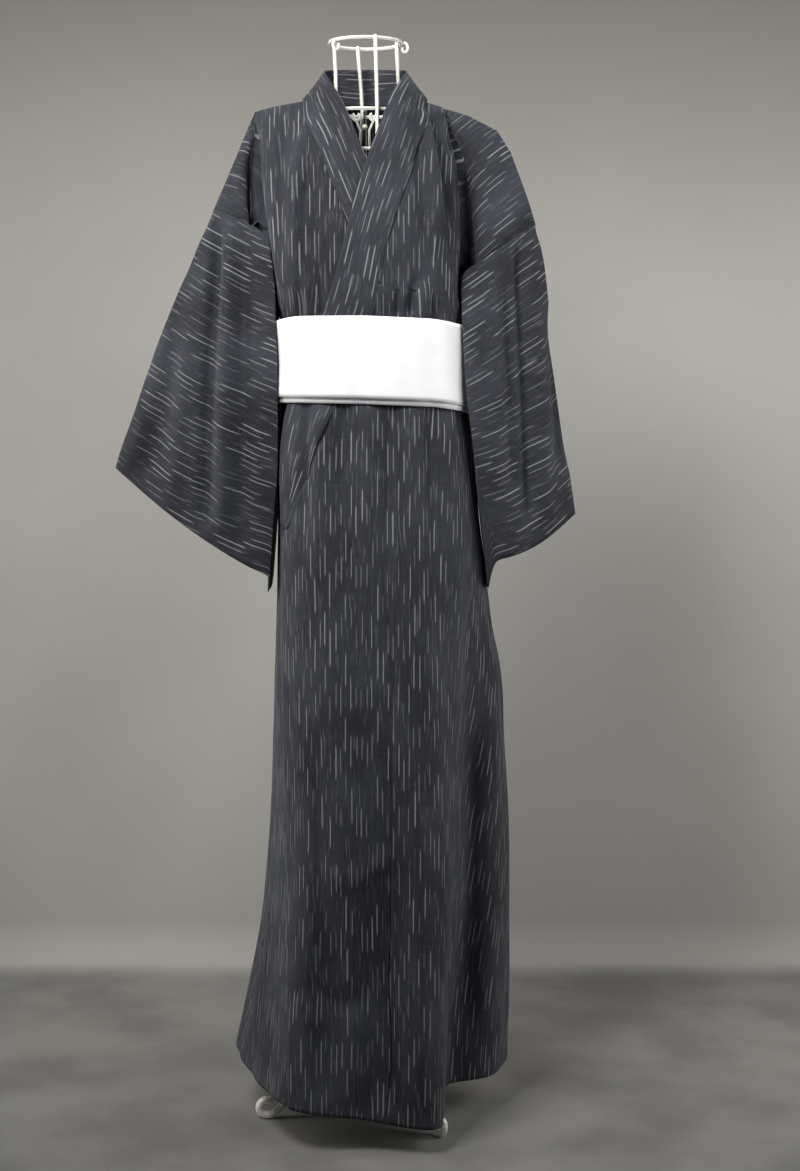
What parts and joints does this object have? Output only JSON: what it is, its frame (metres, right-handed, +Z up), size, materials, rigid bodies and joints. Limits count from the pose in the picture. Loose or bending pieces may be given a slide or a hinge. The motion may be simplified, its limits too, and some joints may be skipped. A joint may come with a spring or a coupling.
{
  "type": "cotton yukata robe on a wire dress form",
  "caption": "Full-length dark cotton yukata with hanging sleeves, lapped left over right under a plain white obi, on a white wire dress form with scroll feet.",
  "frame": {"origin": "middle of the bounding box, on the floor the feet stand on", "axes": "+Z up, -Y to the robe's front, +X to the wearer's left"},
  "size_m": [0.6744, 0.3581, 1.5854],
  "materials": {
    "cotton": "matt woven cotton, dark blue-grey with broken pale dashes along the warp",
    "obi": "matt plain white weave",
    "wire": "off-white gloss paint on bent wire"
  },
  "bodies": {
    "root": {"body_left": "cotton", "body_right": "cotton", "okumi_left": "cotton", "okumi_right": "cotton", "collar": "cotton", "sleeve_left": "cotton", "sleeve_right": "cotton", "obi_inner": "obi", "obi_outer": "obi", "form_neck_ring": "wire", "form_neck_base_ring": "wire", "form_chest_ring": "wire", "form_bust_ring": "wire", "form_waist_ring": "wire", "form_hip_ring": "wire", "form_front_upright": "wire", "form_back_upright": "wire", "form_left_upright": "wire", "form_right_upright": "wire", "form_left_shoulder": "wire", "form_right_shoulder": "wire", "form_left_scroll": "wire", "form_right_scroll": "wire", "form_knot_scroll_left": "wire", "form_knot_scroll_right": "wire", "form_knot": "wire", "form_hub": "wire", "form_pole": "wire", "foot_front": "wire", "foot_right": "wire", "foot_back": "wire"}
  },
  "joints": []
}
